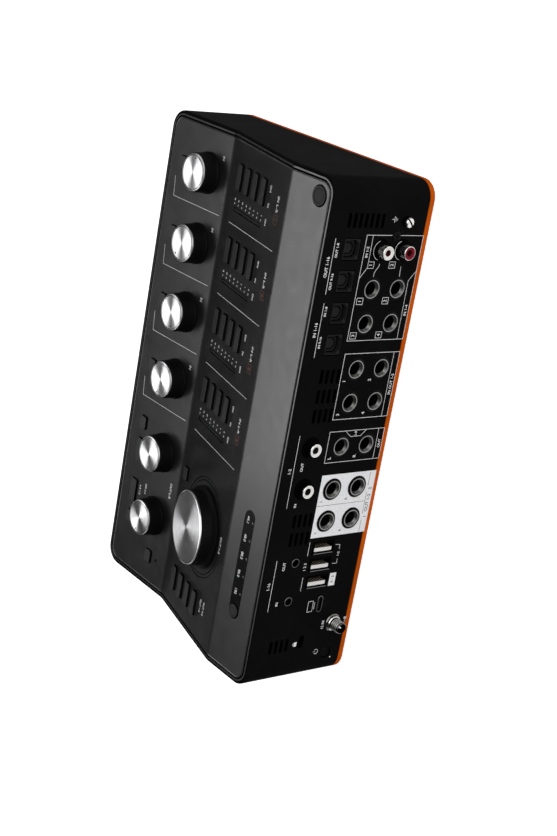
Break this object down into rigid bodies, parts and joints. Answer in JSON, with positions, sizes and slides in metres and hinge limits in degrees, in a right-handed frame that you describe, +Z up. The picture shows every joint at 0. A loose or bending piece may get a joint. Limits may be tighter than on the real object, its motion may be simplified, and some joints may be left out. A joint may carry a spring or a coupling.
{
  "type": "desktop audio interface",
  "caption": "Desktop audio interface with a stepped, sloped top, turning level knobs, push buttons, and rows of audio, optical and data sockets on its rear and front walls.",
  "frame": {"origin": "on the surface that the feet stand on, under the middle of the whole box", "axes": "+X right and -Y towards the user as the front is faced, +Z up"},
  "size_m": [0.264, 0.1688, 0.0711],
  "materials": {
    "body": "satin black paint",
    "panel": "satin dark grey paint",
    "base": "satin orange paint",
    "foot": "matt rubber",
    "board": "green circuit board",
    "knob": "black plastic under a spun aluminium cap",
    "button": "matt black plastic",
    "nickel": "nickel plate",
    "socket": "black socket plastic with grey metal rings"
  },
  "bodies": {
    "body": {"base_plate": "base", "dc_inlet": "nickel", "deck_board": "board", "enclosure": "body", "foot_front_left": "foot", "foot_front_right": "foot", "foot_rear_left": "foot", "foot_rear_right": "foot", "front_board": "socket", "ground_post": "nickel", "main_board": "board", "phono_sockets": "socket", "rear_board": "socket", "slope_board": "board", "strip_board": "board", "top_panel": "panel"},
    "channel_1_button_1": {"channel_1_button_1": "button"},
    "channel_1_button_2": {"channel_1_button_2": "button"},
    "channel_1_button_3": {"channel_1_button_3": "button"},
    "channel_1_button_4": {"channel_1_button_4": "button"},
    "channel_2_button_1": {"channel_2_button_1": "button"},
    "channel_2_button_2": {"channel_2_button_2": "button"},
    "channel_2_button_3": {"channel_2_button_3": "button"},
    "channel_2_button_4": {"channel_2_button_4": "button"},
    "channel_3_button_1": {"channel_3_button_1": "button"},
    "channel_3_button_2": {"channel_3_button_2": "button"},
    "channel_3_button_3": {"channel_3_button_3": "button"},
    "channel_3_button_4": {"channel_3_button_4": "button"},
    "channel_4_button_1": {"channel_4_button_1": "button"},
    "channel_4_button_2": {"channel_4_button_2": "button"},
    "channel_4_button_3": {"channel_4_button_3": "button"},
    "channel_4_button_4": {"channel_4_button_4": "button"},
    "dim_button": {"dim_button": "button"},
    "gain_button_1": {"gain_button_1": "button"},
    "gain_button_2": {"gain_button_2": "button"},
    "gain_button_3": {"gain_button_3": "button"},
    "gain_button_4": {"gain_button_4": "button"},
    "gain_knob_1": {"gain_knob_1": "knob"},
    "gain_knob_2": {"gain_knob_2": "knob"},
    "gain_knob_3": {"gain_knob_3": "knob"},
    "gain_knob_4": {"gain_knob_4": "knob"},
    "home_button": {"home_button": "button"},
    "monitor_button_1": {"monitor_button_1": "button"},
    "monitor_button_2": {"monitor_button_2": "button"},
    "monitor_button_3": {"monitor_button_3": "button"},
    "monitor_button_4": {"monitor_button_4": "button"},
    "monitor_knob": {"monitor_knob": "knob"},
    "optical_shutter_1": {"optical_shutter_1": "socket"},
    "optical_shutter_2": {"optical_shutter_2": "socket"},
    "optical_shutter_3": {"optical_shutter_3": "socket"},
    "optical_shutter_4": {"optical_shutter_4": "socket"},
    "phones_knob_1": {"phones_knob_1": "knob"},
    "phones_knob_2": {"phones_knob_2": "knob"},
    "phones_mono_button_1": {"phones_mono_button_1": "button"},
    "phones_mono_button_2": {"phones_mono_button_2": "button"},
    "phones_source_button_1": {"phones_source_button_1": "button"},
    "phones_source_button_2": {"phones_source_button_2": "button"},
    "power_button": {"power_button": "button"},
    "sync_button": {"sync_button": "button"},
    "talkback_button": {"talkback_button": "button"}
  },
  "joints": [
    {"name": "channel_1_button_1_press", "type": "slide", "parent": "body", "child": "channel_1_button_1", "axis": [0, -0.2403, 0.9707], "range_m": [-0.0006, 0], "stiffness_N_per_m": 1500},
    {"name": "channel_1_button_2_press", "type": "slide", "parent": "body", "child": "channel_1_button_2", "axis": [0, -0.2403, 0.9707], "range_m": [-0.0006, 0], "stiffness_N_per_m": 1500},
    {"name": "channel_1_button_3_press", "type": "slide", "parent": "body", "child": "channel_1_button_3", "axis": [0, -0.2403, 0.9707], "range_m": [-0.0006, 0], "stiffness_N_per_m": 1500},
    {"name": "channel_1_button_4_press", "type": "slide", "parent": "body", "child": "channel_1_button_4", "axis": [0, -0.2403, 0.9707], "range_m": [-0.0006, 0], "stiffness_N_per_m": 1500},
    {"name": "channel_2_button_1_press", "type": "slide", "parent": "body", "child": "channel_2_button_1", "axis": [0, -0.2403, 0.9707], "range_m": [-0.0006, 0], "stiffness_N_per_m": 1500},
    {"name": "channel_2_button_2_press", "type": "slide", "parent": "body", "child": "channel_2_button_2", "axis": [0, -0.2403, 0.9707], "range_m": [-0.0006, 0], "stiffness_N_per_m": 1500},
    {"name": "channel_2_button_3_press", "type": "slide", "parent": "body", "child": "channel_2_button_3", "axis": [0, -0.2403, 0.9707], "range_m": [-0.0006, 0], "stiffness_N_per_m": 1500},
    {"name": "channel_2_button_4_press", "type": "slide", "parent": "body", "child": "channel_2_button_4", "axis": [0, -0.2403, 0.9707], "range_m": [-0.0006, 0], "stiffness_N_per_m": 1500},
    {"name": "channel_3_button_1_press", "type": "slide", "parent": "body", "child": "channel_3_button_1", "axis": [0, -0.2403, 0.9707], "range_m": [-0.0006, 0], "stiffness_N_per_m": 1500},
    {"name": "channel_3_button_2_press", "type": "slide", "parent": "body", "child": "channel_3_button_2", "axis": [0, -0.2403, 0.9707], "range_m": [-0.0006, 0], "stiffness_N_per_m": 1500},
    {"name": "channel_3_button_3_press", "type": "slide", "parent": "body", "child": "channel_3_button_3", "axis": [0, -0.2403, 0.9707], "range_m": [-0.0006, 0], "stiffness_N_per_m": 1500},
    {"name": "channel_3_button_4_press", "type": "slide", "parent": "body", "child": "channel_3_button_4", "axis": [0, -0.2403, 0.9707], "range_m": [-0.0006, 0], "stiffness_N_per_m": 1500},
    {"name": "channel_4_button_1_press", "type": "slide", "parent": "body", "child": "channel_4_button_1", "axis": [0, -0.2403, 0.9707], "range_m": [-0.0006, 0], "stiffness_N_per_m": 1500},
    {"name": "channel_4_button_2_press", "type": "slide", "parent": "body", "child": "channel_4_button_2", "axis": [0, -0.2403, 0.9707], "range_m": [-0.0006, 0], "stiffness_N_per_m": 1500},
    {"name": "channel_4_button_3_press", "type": "slide", "parent": "body", "child": "channel_4_button_3", "axis": [0, -0.2403, 0.9707], "range_m": [-0.0006, 0], "stiffness_N_per_m": 1500},
    {"name": "channel_4_button_4_press", "type": "slide", "parent": "body", "child": "channel_4_button_4", "axis": [0, -0.2403, 0.9707], "range_m": [-0.0006, 0], "stiffness_N_per_m": 1500},
    {"name": "dim_button_press", "type": "slide", "parent": "body", "child": "dim_button", "axis": [0, -0.2403, 0.9707], "range_m": [-0.0006, 0], "stiffness_N_per_m": 1500},
    {"name": "gain_button_1_press", "type": "slide", "parent": "body", "child": "gain_button_1", "axis": [0, 0, 1], "range_m": [-0.0006, 0], "stiffness_N_per_m": 1500},
    {"name": "gain_button_2_press", "type": "slide", "parent": "body", "child": "gain_button_2", "axis": [0, 0, 1], "range_m": [-0.0006, 0], "stiffness_N_per_m": 1500},
    {"name": "gain_button_3_press", "type": "slide", "parent": "body", "child": "gain_button_3", "axis": [0, 0, 1], "range_m": [-0.0006, 0], "stiffness_N_per_m": 1500},
    {"name": "gain_button_4_press", "type": "slide", "parent": "body", "child": "gain_button_4", "axis": [0, 0, 1], "range_m": [-0.0006, 0], "stiffness_N_per_m": 1500},
    {"name": "gain_knob_1_turn", "type": "hinge", "parent": "body", "child": "gain_knob_1", "pos_m": [-0.10543, -0.0449, 0.0478], "axis": [0, 0, 1], "range_deg": [-234, 66]},
    {"name": "gain_knob_2_turn", "type": "hinge", "parent": "body", "child": "gain_knob_2", "pos_m": [-0.06747, -0.0449, 0.0478], "axis": [0, 0, 1], "range_deg": [-26, 274]},
    {"name": "gain_knob_3_turn", "type": "hinge", "parent": "body", "child": "gain_knob_3", "pos_m": [-0.02952, -0.0449, 0.0478], "axis": [0, 0, 1], "range_deg": [-71, 229]},
    {"name": "gain_knob_4_turn", "type": "hinge", "parent": "body", "child": "gain_knob_4", "pos_m": [0.00843, -0.0449, 0.0478], "axis": [0, 0, 1], "range_deg": [-49, 251]},
    {"name": "home_button_press", "type": "slide", "parent": "body", "child": "home_button", "axis": [0, 0, 1], "range_m": [-0.0006, 0], "stiffness_N_per_m": 1500},
    {"name": "monitor_button_1_press", "type": "slide", "parent": "body", "child": "monitor_button_1", "axis": [0, -0.2403, 0.9707], "range_m": [-0.0006, 0], "stiffness_N_per_m": 1500},
    {"name": "monitor_button_2_press", "type": "slide", "parent": "body", "child": "monitor_button_2", "axis": [0, -0.2403, 0.9707], "range_m": [-0.0006, 0], "stiffness_N_per_m": 1500},
    {"name": "monitor_button_3_press", "type": "slide", "parent": "body", "child": "monitor_button_3", "axis": [0, -0.2403, 0.9707], "range_m": [-0.0006, 0], "stiffness_N_per_m": 1500},
    {"name": "monitor_button_4_press", "type": "slide", "parent": "body", "child": "monitor_button_4", "axis": [0, -0.2403, 0.9707], "range_m": [-0.0006, 0], "stiffness_N_per_m": 1500},
    {"name": "monitor_knob_turn", "type": "hinge", "parent": "body", "child": "monitor_knob", "pos_m": [0.0706, 0.01254, 0.05741], "axis": [0, -0.2403, 0.9707], "continuous": true},
    {"name": "optical_shutter_1_swing", "type": "hinge", "parent": "body", "child": "optical_shutter_1", "pos_m": [-0.09874, 0.07485, 0.05255], "axis": [-1, 0, 0], "range_deg": [0, 80], "stiffness_Nm_per_rad": 0.002},
    {"name": "optical_shutter_2_swing", "type": "hinge", "parent": "body", "child": "optical_shutter_2", "pos_m": [-0.08307, 0.07485, 0.05255], "axis": [-1, 0, 0], "range_deg": [0, 80], "stiffness_Nm_per_rad": 0.002},
    {"name": "optical_shutter_3_swing", "type": "hinge", "parent": "body", "child": "optical_shutter_3", "pos_m": [-0.06741, 0.07485, 0.05255], "axis": [-1, 0, 0], "range_deg": [0, 80], "stiffness_Nm_per_rad": 0.002},
    {"name": "optical_shutter_4_swing", "type": "hinge", "parent": "body", "child": "optical_shutter_4", "pos_m": [-0.05174, 0.07485, 0.05255], "axis": [-1, 0, 0], "range_deg": [0, 80], "stiffness_Nm_per_rad": 0.002},
    {"name": "phones_knob_1_turn", "type": "hinge", "parent": "body", "child": "phones_knob_1", "pos_m": [0.05165, -0.0449, 0.0478], "axis": [0, 0, 1], "range_deg": [-68, 232]},
    {"name": "phones_knob_2_turn", "type": "hinge", "parent": "body", "child": "phones_knob_2", "pos_m": [0.08955, -0.0449, 0.0478], "axis": [0, 0, 1], "range_deg": [-47, 253]},
    {"name": "phones_mono_button_1_press", "type": "slide", "parent": "body", "child": "phones_mono_button_1", "axis": [0, 0, 1], "range_m": [-0.0006, 0], "stiffness_N_per_m": 1500},
    {"name": "phones_mono_button_2_press", "type": "slide", "parent": "body", "child": "phones_mono_button_2", "axis": [0, 0, 1], "range_m": [-0.0006, 0], "stiffness_N_per_m": 1500},
    {"name": "phones_source_button_1_press", "type": "slide", "parent": "body", "child": "phones_source_button_1", "axis": [0, 0, 1], "range_m": [-0.0006, 0], "stiffness_N_per_m": 1500},
    {"name": "phones_source_button_2_press", "type": "slide", "parent": "body", "child": "phones_source_button_2", "axis": [0, 0, 1], "range_m": [-0.0006, 0], "stiffness_N_per_m": 1500},
    {"name": "power_button_press", "type": "slide", "parent": "body", "child": "power_button", "axis": [0, 1, 0], "range_m": [-0.0012, 0], "stiffness_N_per_m": 1500},
    {"name": "sync_button_press", "type": "slide", "parent": "body", "child": "sync_button", "axis": [0, 0, 1], "range_m": [-0.0006, 0], "stiffness_N_per_m": 1500},
    {"name": "talkback_button_press", "type": "slide", "parent": "body", "child": "talkback_button", "axis": [0, 0, 1], "range_m": [-0.0006, 0], "stiffness_N_per_m": 1500}
  ]
}
